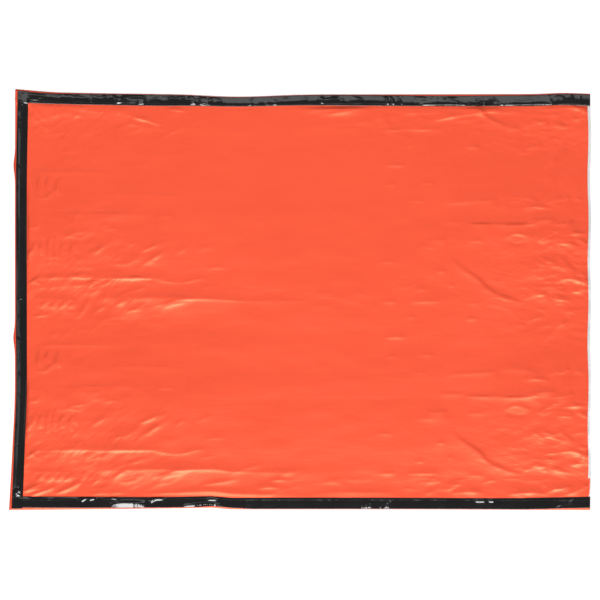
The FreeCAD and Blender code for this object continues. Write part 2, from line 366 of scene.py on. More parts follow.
        # faint straight ones, where the sheet was rolled
        mark([(-0.87, 0.316), (-0.72, 0.320), (-0.57, 0.316)], 0.0024, 0.022, 0.008)
        mark([(-1.0, 0.468), (-0.85, 0.472), (-0.69, 0.470)], 0.0018, 0.014, 0.006)
        mark([(-0.74, 0.392), (-0.6, 0.392), (-0.44, 0.386)], 0.0012, 0.010, 0.006)
        mark([(-0.54, 0.310), (-0.505, 0.313), (-0.475, 0.310)], 0.0016, 0.006, 0.008)
        # crossways wrinkles by the foot
        for x, start, stop in (
            (-0.972, 0.385, 0.455), (-0.940, 0.405, 0.450), (-0.902, 0.385, 0.450), (-0.965, 0.165, 0.215),
            (-0.936, 0.150, 0.235), (-0.912, 0.155, 0.240), (-0.885, 0.168, 0.215), (-0.850, 0.155, 0.215),
            (-0.832, 0.175, 0.222),
        ):
            mark([(x, start), (x - 0.006, (start + stop) / 2), (x + 0.003, stop)], 0.0032, 0.005, 0.005)
        mark([(-1.022, 0.155), (-1.0, 0.185), (-0.985, 0.215)], 0.0031, 0.006, 0.006)
        mark([(-0.995, 0.376), (-0.955, 0.374), (-0.93, 0.395), (-0.905, 0.410)], 0.0020, 0.005, 0.006)
        mark([(-1.02, 0.262), (-0.99, 0.266), (-0.97, 0.284)], 0.0017, 0.006, 0.008)

    # towards the mouth: two long dark folds, and the slanting one that runs down from them
    mark([(0.505, 0.293), (0.55, 0.294), (0.605, 0.293)], 0.0020, 0.014, 0.005)
    mark([(0.60, 0.287), (0.66, 0.284), (0.72, 0.286)], 0.0038, 0.018, 0.006)
    mark([(0.70, 0.287), (0.77, 0.281), (0.83, 0.284), (0.88, 0.294)], 0.0048, 0.018, 0.008)
    mark([(0.82, 0.294), (0.88, 0.300), (0.935, 0.302)], 0.0037, 0.018, 0.010)
    mark([(0.92, 0.282), (0.965, 0.285), (1.00, 0.300)], 0.0034, 0.012, 0.007)
    mark([(0.52, 0.360), (0.57, 0.365), (0.62, 0.366)], 0.0018, 0.008, 0.012)
    mark([(0.59, 0.370), (0.65, 0.371), (0.72, 0.375)], 0.0028, 0.016, 0.007)
    mark([(0.73, 0.382), (0.77, 0.385), (0.83, 0.382), (0.87, 0.370)], 0.0022, 0.012, 0.007)
    mark([(0.82, 0.347), (0.86, 0.350), (0.91, 0.344)], 0.0032, 0.007, 0.008)
    mark([(0.90, 0.358), (0.925, 0.372), (0.955, 0.385)], 0.0029, 0.010, 0.007)
    mark([(0.945, 0.366), (0.97, 0.378), (0.99, 0.385)], 0.0026, 0.006, 0.008)
    mark([(1.0, 0.374), (1.015, 0.376), (1.035, 0.374)], 0.0019, 0.005, 0.006)
    mark([(0.545, 0.162), (0.60, 0.116), (0.65, 0.082), (0.68, 0.050), (0.725, 0.025), (0.82, -0.004)],
         0.0036, 0.020, 0.005)
    mark([(0.455, 0.226), (0.49, 0.226), (0.535, 0.228)], 0.0028, 0.020, 0.009)
    mark([(0.42, 0.200), (0.46, 0.203), (0.50, 0.200)], 0.0014, 0.010, 0.014)
    # the puffs and crinkles by the mouth
    mark([(0.74, 0.230), (0.79, 0.252), (0.85, 0.232)], 0.0020, 0.006, 0.006)
    mark([(0.75, 0.225), (0.80, 0.214), (0.84, 0.222)], -0.0019, 0.006, 0.010)
    mark([(0.872, 0.222), (0.90, 0.240), (0.925, 0.250)], 0.0031, 0.007, 0.008)
    mark([(0.910, 0.243), (0.930, 0.258), (0.948, 0.252)], 0.0022, 0.005, 0.006)
    mark([(0.880, 0.214), (0.905, 0.226), (0.935, 0.233)], 0.0015, 0.006, 0.005)
    mark([(0.955, 0.243), (0.985, 0.246), (1.025, 0.247)], 0.0022, 0.005, 0.010)
    mark([(0.935, 0.232), (0.965, 0.228), (1.01, 0.230)], 0.0019, 0.014, 0.005)
    mark([(0.98, 0.258), (1.01, 0.252), (1.05, 0.248)], 0.0031, 0.010, 0.007)
    mark([(0.94, 0.213), (0.97, 0.213), (1.01, 0.208)], 0.0026, 0.006, 0.010)
    mark([(1.010, 0.230), (1.035, 0.222), (1.056, 0.206)], 0.0031, 0.006, 0.006)
    mark([(0.85, 0.158), (0.87, 0.147), (0.90, 0.133)], 0.0029, 0.014, 0.007)
    mark([(0.875, 0.168), (0.90, 0.155), (0.94, 0.138)], 0.0029, 0.014, 0.007)
    mark([(0.92, 0.135), (0.95, 0.128), (0.98, 0.118)], 0.0026, 0.006, 0.010)
    mark([(0.95, 0.165), (0.975, 0.140), (1.005, 0.112)], 0.0027, 0.014, 0.007)
    mark([(0.810, 0.002), (0.825, 0.014), (0.845, 0.020)], 0.0019, 0.005, 0.006)
    mark([(0.852, 0.014), (0.856, 0.028), (0.862, 0.042)], 0.0022, 0.005, 0.005)
    mark([(0.860, 0.040), (0.872, 0.030), (0.884, 0.018)], 0.0022, 0.006, 0.005)
    mark([(0.872, 0.034), (0.890, 0.028), (0.905, 0.030)], 0.0026, 0.006, 0.006)
    mark([(0.884, 0.020), (0.897, 0.012), (0.912, 0.024)], 0.0019, 0.005, 0.005)
    mark([(0.915, 0.016), (0.955, 0.009), (0.995, 0.007)], 0.0022, 0.006, 0.006)
    mark([(0.92, 0.026), (0.94, 0.019), (0.965, 0.016)], 0.0017, 0.008, 0.005)
    mark([(0.84, 0.062), (0.87, 0.056), (0.93, 0.054), (0.97, 0.060)], 0.0022, 0.018, 0.005)
    mark([(0.885, 0.070), (0.92, 0.076), (0.95, 0.075)], 0.0019, 0.005, 0.006)
    mark([(0.95, 0.080), (0.985, 0.084), (1.01, 0.078), (1.03, 0.072)], 0.0024, 0.005, 0.006)
    mark([(0.99, 0.035), (1.015, 0.037), (1.04, 0.040)], 0.0029, 0.006, 0.008)
    mark([(1.028, 0.042), (1.040, 0.062), (1.056, 0.088)], 0.0043, 0.008, 0.008)
    mark([(0.99, 0.090), (1.02, 0.080), (1.05, 0.066)], 0.0039, 0.008, 0.007)
    mark([(1.015, 0.104), (1.035, 0.100), (1.056, 0.094)], 0.0029, 0.010, 0.006)
    mark([(0.795, -0.086), (0.81, -0.083), (0.83, -0.084)], 0.0015, 0.006, 0.006)
    mark([(0.825, -0.072), (0.85, -0.063), (0.885, -0.050)], 0.0024, 0.006, 0.006)
    mark([(0.895, -0.147), (0.925, -0.118), (0.945, -0.090), (0.98, -0.072)], 0.0029, 0.006, 0.007)
    # small ones between
    for x, y, half, height in (
        (0.345, -0.130, 0.040, 0.0026), (0.628, -0.063, 0.024, 0.0020), (0.435, 0.044, 0.018, 0.0016),
        (0.550, 0.058, 0.016, 0.0014), (0.450, 0.001, 0.060, 0.0022), (0.320, 0.000, 0.030, 0.0018),
        (0.640, -0.006, 0.030, 0.0014), (0.330, 0.429, 0.020, 0.0018), (0.460, 0.435, 0.026, 0.0018),
        (0.428, 0.370, 0.028, 0.0014), (0.400, -0.056, 0.020, 0.0012), (0.310, 0.146, 0.030, 0.0012),
        (0.512, 0.112, 0.016, 0.0018), (0.640, 0.222, 0.030, 0.0012),
    ):
        mark([(x - half, y - 0.001), (x, y + 0.001), (x + half, y)], height, 0.006, 0.008)
    film.scatter((0.1, 0.02), (0.3, 0.06), 8, 5, 0.09, 0.0006, 0.006, 82 + band, 0.2)
    film.scatter((-0.80, 0.20), (0.22, 0.20), 16, 20, 0.07, 0.0007, 0.006, 42 + band, 0.8)
    film.scatter((0.88, 0.16), (0.15, 0.30), 22, 10, 0.06, 0.0009, 0.006, 52 + band, 0.5)

# The pull of the side tapes: fans of short creases that start at their inner edges.
for path, height, near, far in (
    ([(-0.635, 0.677), (-0.58, 0.666), (-0.525, 0.648)], 0.0042, 0.006, 0.010),
    ([(-0.70, 0.690), (-0.64, 0.682), (-0.59, 0.668)], 0.0024, 0.008, 0.010),
    ([(-0.74, 0.706), (-0.66, 0.697), (-0.58, 0.690)], 0.0024, 0.010, 0.012),
    ([(-0.66, 0.654), (-0.60, 0.646), (-0.55, 0.634)], 0.0018, 0.008, 0.010),
    ([(-0.86, 0.708), (-0.78, 0.700), (-0.72, 0.690)], 0.0020, 0.010, 0.010),
    ([(-0.90, 0.690), (-0.84, 0.682), (-0.80, 0.672)], 0.0016, 0.008, 0.010),
    ([(-0.505, 0.709), (-0.46, 0.704), (-0.42, 0.699)], 0.0030, 0.005, 0.008),
    ([(-0.52, 0.697), (-0.47, 0.690), (-0.40, 0.686)], 0.0018, 0.010, 0.010),
    ([(0.00, 0.703), (0.10, 0.707), (0.22, 0.717)], 0.0026, 0.008, 0.010),
    ([(0.05, 0.690), (0.12, 0.694), (0.20, 0.704)], 0.0020, 0.010, 0.010),
    ([(0.13, 0.698), (0.19, 0.706), (0.26, 0.718)], 0.0020, 0.007, 0.008),
    ([(-1.00, 0.708), (-0.985, 0.685), (-0.955, 0.655)], 0.0024, 0.005, 0.006),
    ([(-1.01, 0.680), (-0.995, 0.660), (-0.975, 0.645)], 0.0020, 0.005, 0.006),
    ([(-0.98, 0.645), (-0.955, 0.632), (-0.93, 0.622)], 0.0018, 0.005, 0.006),
    ([(0.275, 0.700), (0.290, 0.665), (0.315, 0.640)], 0.0024, 0.005, 0.007),
    ([(0.300, 0.690), (0.308, 0.665), (0.325, 0.645)], 0.0018, 0.004, 0.006),
    ([(0.30, 0.634), (0.34, 0.632), (0.39, 0.643)], 0.0013, 0.006, 0.008),
    ([(0.33, 0.628), (0.42, 0.640), (0.50, 0.658)], 0.0020, 0.006, 0.010),
    ([(0.47, 0.662), (0.58, 0.684), (0.74, 0.706)], 0.0028, 0.008, 0.014),
    ([(0.40, 0.648), (0.50, 0.672), (0.62, 0.694)], 0.0020, 0.007, 0.012),
    ([(0.60, 0.704), (0.70, 0.700), (0.82, 0.692)], 0.0020, 0.007, 0.012),
    ([(0.34, 0.700), (0.44, 0.694), (0.54, 0.704)], 0.0018, 0.008, 0.012),
    ([(0.55, 0.664), (0.60, 0.667), (0.66, 0.671)], 0.0018, 0.008, 0.010),
    ([(-1.02, -0.698), (-0.99, -0.681), (-0.95, -0.669)], 0.0044, 0.007, 0.009),
    ([(-1.00, -0.714), (-0.95, -0.696), (-0.90, -0.678)], 0.0052, 0.009, 0.010),
    ([(-0.91, -0.706), (-0.855, -0.686), (-0.81, -0.660)], 0.0046, 0.008, 0.010),
    ([(-0.81, -0.708), (-0.70, -0.703), (-0.61, -0.707)], 0.0026, 0.009, 0.014),
    ([(-0.60, -0.708), (-0.35, -0.701), (-0.08, -0.706)], 0.0032, 0.010, 0.008),
    ([(-0.16, -0.685), (-0.12, -0.679), (-0.07, -0.684)], 0.0026, 0.008, 0.010),
    ([(-0.27, -0.644), (-0.22, -0.615), (-0.14, -0.596)], 0.0024, 0.008, 0.010),
    ([(-0.37, -0.680), (-0.30, -0.667), (-0.23, -0.647)], 0.0026, 0.008, 0.010),
    ([(-0.11, -0.659), (-0.085, -0.653), (-0.06, -0.656)], 0.0024, 0.006, 0.008),
    ([(0.03, -0.706), (0.17, -0.699), (0.36, -0.703)], 0.0022, 0.010, 0.016),
    ([(0.55, -0.704), (0.61, -0.698), (0.68, -0.703)], 0.0026, 0.008, 0.012),
    ([(0.76, -0.706), (0.84, -0.700), (0.92, -0.704)], 0.0036, 0.008, 0.012),
    ([(0.90, -0.698), (0.95, -0.684), (1.00, -0.676)], 0.0040, 0.007, 0.010),
    ([(0.98, -0.706), (1.02, -0.690), (1.055, -0.668)], 0.0042, 0.008, 0.010),
):
    film.crease(path, height, near, far)
film.scatter((-0.15, -0.66), (0.7, 0.04), 20, 8, 0.10, 0.0010, 0.006, 91, 0.2)
film.scatter((0.2, 0.66), (0.75, 0.05), 22, 8, 0.10, 0.0009, 0.005, 92, 0.25)
film.scatter((0.75, -0.68), (0.28, 0.025), 16, 20, 0.06, 0.0015, 0.005, 93, 0.5)

# The loft: flat under the tapes, then up to the air that the sack holds.  The bands lie in long low
# waves at the foot and the mouth, where the folds are strongest.
inside = smooth(from_seam, TAPED - 0.006, TAPED + 0.010)
loft = 0.0036 * smooth(from_seam, TAPED, 0.26) + 0.0008 * smooth(from_seam, 0, 0.03)
wave_strength = 0.6 + 0.9 * (1 - smooth(grid_x, -0.50, -0.10)) + 0.6 * smooth(grid_x, 0.62, 0.95)
waves = 0.0030 * wave_strength * np.sin(math.tau * (grid_y - 0.07) / BAND)
bands = 0.0007 * swell(grid_x, grid_y, 0.16, 5, stretch=4.0)
bands += 0.0003 * swell(grid_x, grid_y, 0.07, 6, stretch=2.5)
crumpled_foot = 1 - smooth(grid_x, -0.75, -0.28)
crumpled_mouth = smooth(grid_x, 0.50, 0.95)
crumpled_side = 0.6 * smooth(grid_y, 0.50, 0.70) + 0.5 * smooth(-grid_y, 0.55, 0.70)
crumpled = np.clip(0.10 + crumpled_foot + crumpled_mouth + crumpled_side, 0, 1.1)
crumpled = crumpled * (0.70 + 0.30 * np.cos(math.tau * (grid_y - 0.08) / BAND))
phase = np.mod(grid_y + 0.30, BAND)
film.height += 0.0016 * crumpled * crumpled_foot * facets(grid_x, phase, 38, 0.16, 401)
film.height += 0.0006 * crumpled * crumpled_foot * facets(grid_x, phase, 50, 0.07, 402)
film.height += 0.0011 * crumpled * facets(grid_x, grid_y, -8, 0.13, 403)
film.height += 0.0006 * crumpled * facets(grid_x, grid_y, 12, 0.055, 404)
film.height *= inside
film.height += 0.0014 + loft + (bands + 0.0032 + waves) * inside
eased_x = eased(settled.x, settled.height, film_x)
film.height += inside * 0.28 * eased(settled.y, eased_x.T, film_y).T

# The seams stay a little puffed.  How far in from the fold the right side's puff is highest.
RIGHT_CREST = [(-1.07, 0.018), (-0.78, 0.018), (-0.70, 0.026), (-0.40, 0.022), (0.25, 0.022), (0.40, 0.034),
               (0.90, 0.035), (1.00, 0.019)]
crest = np.where(grid_y > 0, through(RIGHT_CREST, film_x)[:, None], 0.030)
crest = np.where(from_foot < from_side, 0.022, crest)
tall = np.where(grid_y > 0, 0.0030 * (1 - 0.75 * smooth(grid_x, 0.92, 0.98)), 0.0013)
along_seam = 0.85 + 0.22 * swell(grid_x, grid_y, 0.28, 9) + 0.10 * swell(grid_x, grid_y, 0.05, 10)
puff_ends = np.where(grid_y > 0, 0.050, 0.062)
puff = smooth(from_seam, -0.006, crest) * (1 - smooth(from_seam, crest, puff_ends))
# at the right end of the foot the whole corner slopes down to the side
corner = (grid_y > 0) * (1 - smooth(from_side, 0.038, 0.066)) * (1 - smooth(from_foot, 0.040, 0.056))
film.height += (1 - corner) * tall * np.clip(along_seam, 0.15, 1.6) * puff
film.height += corner * 0.145 * np.minimum(from_side, 0.044)
film.height = np.clip(film.height, 0.0014, 0.024)


class Wire:
    """An output socket of a material's nodes.  Arithmetic on it adds Math nodes to that material."""

    def __init__(self, tree, socket=None):
        self.tree = tree
        self.socket = socket

    def node(self, kind, settings=None, inputs=None, output=0):
        """A new node of any type: its settings first, then the values or wires of its sockets."""
        made = self.tree.nodes.new(kind)
        for name, value in (settings or {}).items():
            if name == "stops":
                ramp = made.color_ramp.elements
                while len(ramp) < len(value):
                    ramp.new(0.5)
                for element, (place, colour) in zip(ramp, value):
                    element.position = place
                    element.color = colour
            else:
                setattr(made, name, value)
        for name, value in (inputs or {}).items():
            if isinstance(value, Wire):
                self.tree.links.new(value.socket, made.inputs[name])
            else:
                made.inputs[name].default_value = value
        return Wire(self.tree, made.outputs[output] if made.outputs else None)

    def maths(self, operation, first, second):
        return self.node("ShaderNodeMath", {"operation": operation}, {0: first, 1: second})

    def __add__(self, other):
        return self.maths("ADD", self, other)

    def __radd__(self, other):
        return self.maths("ADD", other, self)

    def __sub__(self, other):
        return self.maths("SUBTRACT", self, other)

    def __rsub__(self, other):
        return self.maths("SUBTRACT", other, self)

    def __abs__(self):
        return self.maths("ABSOLUTE", self, 0)

    def __mul__(self, other):
        return self.maths("MULTIPLY", self, other)

    def __rmul__(self, other):
        return self.maths("MULTIPLY", other, self)

    def mixed(self, first, second):
        """A colour between two, by this wire's value."""
        return self.node(
            "ShaderNodeMix",
            {"data_type": "RGBA", "clamp_factor": True},
            {0: self, 6: first, 7: second},
            output=2,
        )


def new_finish(name):
    """An empty material, with a wire to build its nodes from and the place on the piece, in metres."""
    material = bpy.data.materials.new(name)
    material.use_nodes = True
    material.node_tree.nodes.clear()
    start = Wire(material.node_tree)
    place = start.node("ShaderNodeTexCoord", output=3)
    return material, start, place


def finished(start, sockets):
    """Ends a material in one Principled shader."""
    shader = start.node("ShaderNodeBsdfPrincipled", None, sockets)
    start.node("ShaderNodeOutputMaterial", {"target": "ALL"}, {"Surface": shader})


orange_film, start, place = new_finish("orange_film")
drift = start.node(
    "ShaderNodeTexNoise", {"noise_dimensions": "3D"}, {"Vector": place, "Scale": 2.2, "Detail": 3.0}
)
lengthwise = start.node(
    "ShaderNodeMapping", {"vector_type": "POINT"}, {"Vector": place, "Scale": (3.0, 14.0, 8.0)}
)
streak = start.node(
    "ShaderNodeTexNoise", None, {"Vector": lengthwise, "Scale": 3.0, "Detail": 5.0, "Roughness": 0.6}
)
crumple = start.node(
    "ShaderNodeTexNoise", None, {"Vector": place, "Scale": 70.0, "Detail": 4.0, "Roughness": 0.62}
)
tone = 0.55 * drift + 0.45 * streak
colour = tone.mixed((0.93, 0.094, 0.0365, 1), (1.0, 0.115, 0.050, 1))
fine = start.node("ShaderNodeBump", None, {"Height": crumple, "Strength": 0.12, "Distance": 0.002})
ripple = start.node(
    "ShaderNodeBump", None, {"Height": streak, "Normal": fine, "Strength": 0.10, "Distance": 0.008}
)
# fine crinkles: sharp ridges between small flats, slanting by the foot and nearly lengthwise elsewhere
where_x = start.node("ShaderNodeSeparateXYZ", None, {"Vector": place}, output=0)
where_y = start.node("ShaderNodeSeparateXYZ", None, {"Vector": place}, output=1)
by_foot = start.node(
    "ShaderNodeMapRange", {"interpolation_type": "SMOOTHSTEP"},
    {"Value": where_x, "From Min": -0.25, "From Max": -0.75},
)
by_mouth = start.node(
    "ShaderNodeMapRange", {"interpolation_type": "SMOOTHSTEP"},
    {"Value": where_x, "From Min": 0.45, "From Max": 0.90},
)
in_band = 0.6 + 0.4 * start.maths("COSINE", (where_y - 0.08) * (math.tau / BAND), 0)
slanting = start.node(
    "ShaderNodeMapping", {"vector_type": "TEXTURE"},
    {"Vector": place, "Rotation": (0, 0, math.radians(42)), "Scale": (3.4, 1.0, 1.0)},
)
slant_grain = start.node("ShaderNodeTexNoise", None, {"Vector": slanting, "Scale": 30.0, "Detail": 2.5})
levelled = start.node(
    "ShaderNodeMapping", {"vector_type": "TEXTURE"},
    {"Vector": place, "Rotation": (0, 0, math.radians(-12)), "Scale": (2.8, 1.0, 1.0)},
)
level_grain = start.node("ShaderNodeTexNoise", None, {"Vector": levelled, "Scale": 28.0, "Detail": 2.5})
ridges = by_foot * abs(0.5 - slant_grain) + (0.18 + 0.9 * by_mouth) * abs(0.5 - level_grain)
crinkled = start.node(
    "ShaderNodeBump", {"invert": True},
    {"Height": ridges * in_band, "Normal": ripple, "Strength": 1.0, "Distance": 0.0030},
)
finished(start, {
    "Base Color": colour,
    "Metallic": 0.60,
    "Roughness": 0.39 + 0.12 * drift,
    "Specular IOR Level": 0.35,
    "Coat Weight": 0.03,
    "Coat Roughness": 0.22,
    "Normal": crinkled,
})

film_px, film_py = lie(grid_x, grid_y)
front = grid_mesh("front_panel_film", film_px, film_py, film.height)
front.data.materials.append(orange_film)
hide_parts("front_panel")
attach(front, "root")


# ---- Front panel's inner face: the bright vapour-deposited aluminium of the same film.  It shows only
# ---- at the mouth, where the lip stands off the back panel.

silver, start, place = new_finish("silver_lining")
drift = start.node("ShaderNodeTexNoise", None, {"Vector": place, "Scale": 9.0, "Detail": 4.0})
crumple = start.node(
    "ShaderNodeTexNoise", None, {"Vector": place, "Scale": 60.0, "Detail": 5.0, "Roughness": 0.6}
)
colour = drift.mixed((0.74, 0.76, 0.75, 1), (0.88, 0.89, 0.88, 1))
fine = start.node("ShaderNodeBump", None, {"Height": crumple, "Strength": 0.3, "Distance": 0.004})
finished(start, {
    "Base Color": colour,
    "Metallic": 1.0,
    "Roughness": 0.36 + 0.16 * drift,
    "Normal": fine,
})

under_film = film.height.copy()
for axis in (0, 1):
    for shift in (-2, -1, 1, 2):
        under_film = np.minimum(under_film, np.roll(film.height, shift, axis))
lining = grid_mesh("front_panel_silver", film_px[::2, ::2], film_py[::2, ::2], under_film[::2, ::2] - FILM)
lining.data.materials.append(silver)
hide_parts("front_panel_lining")
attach(lining, "root")


# ---- Back panel: the larger sheet of the same film, under the front one.  Its edges turn up at the
# ---- foot and both sides, and 30 mm in over the front panel.

FLAP = 0.030
FOLD = 0.0006  # how far the sheet's flat part stops short of the fold's outermost line
FLAP_POINTS = 7  # lines of points across a turned-over edge
MITRE = 2 * FLAP  # how far from a corner the edges run aslant to its notch
ON_FLOOR = 0.0002  # the underside's height
FLAP_LIFT = 2.2 * FILM  # from the front panel's outer face to the top of the turned-over film
LIP = 0.06  # how much of the mouth's edge lifts off the floor


def folded_axis(half, step, both):
    """Places along one axis of the cut sheet, from flap to flap, and each one's layer: 0 on the floor,
    1 on the front panel and a half at the fold between them."""
    flap = np.linspace(FLAP, FOLD, FLAP_POINTS)
    floor = np.linspace(-(half - FOLD), half - FOLD if both else half, int(2 * half / step))
    places = np.concatenate([-half + flap, [-half], floor])
    layers = np.concatenate([np.ones(FLAP_POINTS), [0.5], np.zeros(len(floor))])
    if both:
        places = np.concatenate([places, [half], half - flap[::-1]])
        layers = np.concatenate([layers, [0.5], np.ones(FLAP_POINTS)])
    return places, layers


def back_sheet(name, inner, step_x, step_y):
    """The back panel's outer face, or with inner above 0 a face that much further in."""
    along, layer_x = folded_axis(HALF_LENGTH, step_x, False)
    across, layer_y = folded_axis(HALF_WIDTH, step_y, True)
    x, y = np.meshgrid(along, across, indexing="ij")
    foot_layer, side_layer = np.meshgrid(layer_x, layer_y, indexing="ij")
    on_foot = foot_layer > 0
    on_side = side_layer > 0
    in_foot = x + HALF_LENGTH
    in_side = HALF_WIDTH - np.abs(y)
    mitred_x = -HALF_LENGTH + in_side + in_foot * (MITRE - in_side) / MITRE
    mitred_y = np.sign(y) * (HALF_WIDTH - in_foot - in_side * (MITRE - in_foot) / MITRE)
    x = np.where(on_side & ~on_foot & (in_foot < MITRE), mitred_x, x)
    y = np.where(on_foot & ~on_side & (in_side < MITRE), mitred_y, y)
    layer = np.maximum(foot_layer, side_layer)
    top = film.read(x, y) + FLAP_LIFT - inner
    lip = smooth(x, HALF_LENGTH - LIP, HALF_LENGTH) * (0.0012 + 0.0009 * swell(x, y, 0.09, 17))
    floor = ON_FLOOR + inner + lip * smooth(in_side, 0.0, 0.03)
    floor = np.minimum(floor, np.where(x < panel_high.x, film.read(x, y) - 4 * FILM, 1))
    floor = np.maximum(floor, ON_FLOOR + inner)
    z = floor * (1 - layer) + top * layer
    notch = on_foot & on_side
    cut = notch[:-1, :-1] | notch[1:, 1:] | notch[1:, :-1] | notch[:-1, 1:]
    px, py = lie(x, y)
    return grid_mesh(name, px, py, z, cut)


back = back_sheet("back_panel_film", 0, 0.006, 0.012)
back.data.materials.append(orange_film)
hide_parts("back_panel")
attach(back, "root")


# ---- Back panel's inner face: silver, and seen as a narrow strip at the mouth.

back_silver = back_sheet("back_panel_silver", FILM, 0.012, 0.012)
back_silver.data.materials.append(silver)
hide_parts("back_panel_lining")
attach(back_silver, "root")


# ---- Side tapes: glossy black adhesive tape, 40 mm wide, pressed over the raw edge of the turned-over
# ---- film on each side.  It was laid by hand, so it is full of small crinkles that catch the light.

TAPE_MARGIN = 0.004  # the orange that shows outside a tape
# How far in from the fold each side tape's outer and inner edges lie, as it was laid by hand.
RIGHT_OUTER = [(-1.07, 0.006), (-0.70, 0.002), (0.10, 0.0015), (0.55, 0.005), (1.07, 0.002)]
RIGHT_INNER = [(-1.07, 0.048), (-0.88, 0.042), (-0.55, 0.043), (-0.25, 0.036), (0.10, 0.040), (0.50, 0.043),
               (1.07, 0.044)]
LEFT_OUTER = [(-1.07, 0.009), (-0.75, 0.004), (-0.40, 0.002), (-0.28, 0.005), (-0.16, 0.001), (0.80, 0.001),
              (1.07, 0.008)]
LEFT_INNER = [(-1.07, 0.050), (-0.80, 0.046), (-0.45, 0.042), (-0.10, 0.043), (0.70, 0.042),
              (1.07, 0.049)]
TAPE_WIDTH = 0.040
TAPE_STEP = 0.002
TAPE_THICK = 0.00025
TAPE_LIFT = 0.0007  # from the film, or the turned-over edge, to a tape's underside
RAW_EDGE_FADE = 0.008  # how wide a tape's step is where the turned-over film ends under it

black_tape, start, place = new_finish("black_tape")
drift = start.node("ShaderNodeTexNoise", None, {"Vector": place, "Scale": 14.0, "Detail": 4.0})
crumple = start.node(
    "ShaderNodeTexNoise", None, {"Vector": place, "Scale": 90.0, "Detail": 4.0, "Roughness": 0.6}
)
colour = drift.mixed((0.0016, 0.0012, 0.0012, 1), (0.006, 0.0045, 0.0045, 1))
fine = start.node("ShaderNodeBump", None, {"Height": crumple, "Strength": 0.10, "Distance": 0.0015})
finished(start, {
    "Base Color": colour,
    "Roughness": 0.08 + 0.14 * drift,
    "Specular IOR Level": 0.5,
    "Normal": fine,
})


def tape_strip(along):
    """A tape as it comes off the roll: its second axis runs in from the fold."""
    return Surface(along, np.linspace(0, TAPE_WIDTH, int(TAPE_WIDTH / TAPE_STEP) + 1) + TAPE_MARGIN, 0.001)


def flecks(strip, start, stop, inward, height, seed):
    """A broken row of short creases along a tape, where its edge has lifted."""
    draw = np.random.default_rng(seed)
    at = start
    while at < stop:
        half = draw.uniform(0.002, 0.007)
        middle = inward + draw.uniform(-0.001, 0.001)
        tall = height * draw.uniform(0.6, 1.2)
        strip.crease([(at - half, middle), (at, middle + 0.0006), (at + half, middle)], tall, 0.004, 0.0045)
        at += half + draw.uniform(0.002, 0.011)


def tape_mesh(name, x, y, over, strip):
    """A tape's mesh: over is how far its underside stays above the front panel's film."""
    z = film.read(x, y) + over + TAPE_LIFT + np.clip(strip.height, -0.0004, 0.008)
    px, py = lie(x, y)
    piece = grid_mesh(name, px, py, z)
    if piece.data.polygons[0].normal.z < 0:
        piece.data.flip_normals()
    thickness = piece.modifiers.new("tape_thickness", "SOLIDIFY")
    thickness.thickness = TAPE_THICK
    thickness.offset = 1
    piece.data.materials.append(black_tape)
    return piece


def over_flap(inward):
    """The turned-over film's thickness under a tape, which fades out past the raw edge."""
    return FLAP_LIFT * (1 - smooth(inward, FLAP, FLAP + RAW_EDGE_FADE))


side_along = np.arange(-HALF_LENGTH + FLAP, HALF_LENGTH + TAPE_STEP / 2, TAPE_STEP)

# Right side: grey along its outer half where it slopes outwards, with a few veins and lifted spots.
right_strip = tape_strip(side_along)
for path, height, near, far in (
    ([(-0.708, 0.006), (-0.692, 0.020), (-0.684, 0.040)], 0.0022, 0.005, 0.004),
    ([(-0.684, 0.034), (-0.66, 0.018), (-0.62, 0.012), (-0.58, 0.016)], 0.0022, 0.005, 0.004),
    ([(-0.675, 0.012), (-0.64, 0.026), (-0.60, 0.030)], 0.0016, 0.005, 0.004),
    ([(-0.50, 0.010), (-0.47, 0.016), (-0.45, 0.012), (-0.43, 0.018)], 0.0016, 0.005, 0.004),
    ([(-0.615, 0.033), (-0.60, 0.0345), (-0.588, 0.033)], 0.0034, 0.005, 0.0045),
    ([(-0.384, 0.031), (-0.362, 0.034), (-0.348, 0.039)], 0.0036, 0.005, 0.0045),
    ([(-0.418, 0.032), (-0.408, 0.033), (-0.398, 0.032)], 0.0030, 0.004, 0.004),
    ([(0.067, 0.010), (0.074, 0.022), (0.070, 0.036)], 0.0016, 0.004, 0.004),
    ([(0.085, 0.022), (0.12, 0.018), (0.16, 0.021)], 0.0010, 0.004, 0.006),
    ([(0.080, 0.031), (0.12, 0.029), (0.178, 0.033)], 0.0004, 0.004, 0.006),
    ([(0.105, 0.010), (0.115, 0.018), (0.13, 0.024)], 0.0014, 0.004, 0.004),
    ([(0.303, 0.005), (0.314, 0.024), (0.317, 0.043)], 0.0024, 0.004, 0.004),
    ([(0.323, 0.005), (0.334, 0.024), (0.339, 0.043)], 0.0024, 0.004, 0.004),
    ([(0.350, 0.008), (0.362, 0.026), (0.372, 0.040)], 0.0016, 0.004, 0.004),
    ([(0.413, 0.016), (0.435, 0.017), (0.461, 0.016)], -0.0014, 0.005, 0.005),
    ([(0.525, 0.017), (0.56, 0.016), (0.60, 0.018), (0.648, 0.015)], -0.0018, 0.005, 0.005),
    ([(0.594, 0.034), (0.612, 0.022), (0.636, 0.010)], -0.0018, 0.005, 0.005),
    ([(0.600, 0.038), (0.622, 0.030), (0.650, 0.026)], -0.0014, 0.004, 0.004),
    ([(0.925, 0.036), (0.945, 0.022), (0.965, 0.010)], -0.0022, 0.006, 0.006),
    ([(0.985, 0.010), (1.00, 0.020), (1.005, 0.034)], 0.0016, 0.004, 0.004),
    ([(1.030, 0.008), (1.028, 0.024), (1.036, 0.040)], 0.0014, 0.004, 0.004),
):
    right_strip.crease(path, height, near, far)
right_strip.crease([(0.43, 0.0380), (0.53, 0.0375), (0.62, 0.0370)], 0.0042, 0.005, 0.0055)
right_strip.crease([(0.71, 0.0380), (0.83, 0.0375), (0.945, 0.0370)], 0.0042, 0.005, 0.0055)
flecks(right_strip, 0.42, 0.62, 0.0375, 0.0016, 301)
